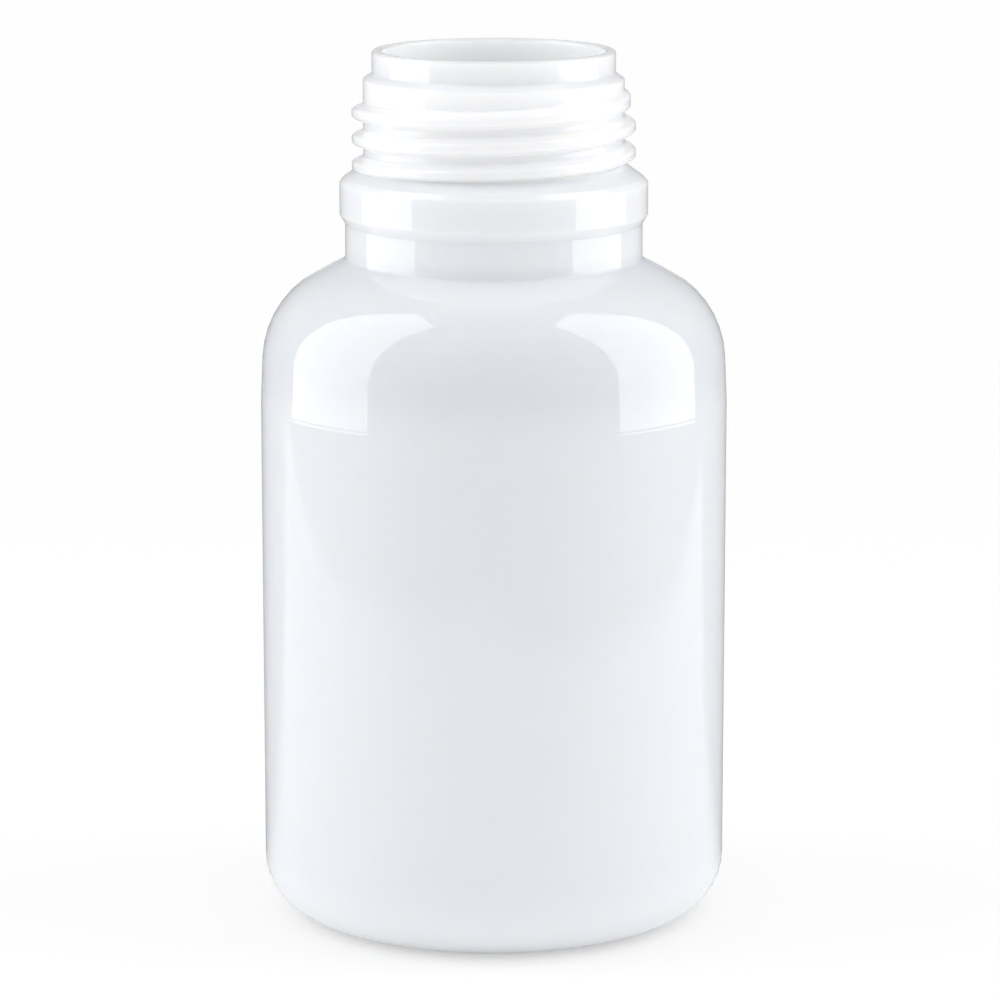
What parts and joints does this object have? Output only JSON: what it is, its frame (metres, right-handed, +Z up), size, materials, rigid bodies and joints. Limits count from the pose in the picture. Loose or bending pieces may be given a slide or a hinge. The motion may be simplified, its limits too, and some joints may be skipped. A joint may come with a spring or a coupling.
{
  "type": "wide-mouth bottle",
  "caption": "Round wide-mouth plastic bottle blown in one piece, with a sloping shoulder, a coarse screw thread and a collar below it. Holds liquids, powders and pellets.",
  "frame": {"origin": "middle of the base, on the surface the bottle stands on", "axes": "+Z up along the bottle's axis towards the mouth; the mould's parting plane is XZ"},
  "size_m": [0.0745, 0.0744, 0.1394],
  "materials": {
    "bottle_plastic": "glossy, milky translucent blow-moulded plastic"
  },
  "bodies": {
    "root": {"bottle": "bottle_plastic"}
  },
  "joints": []
}
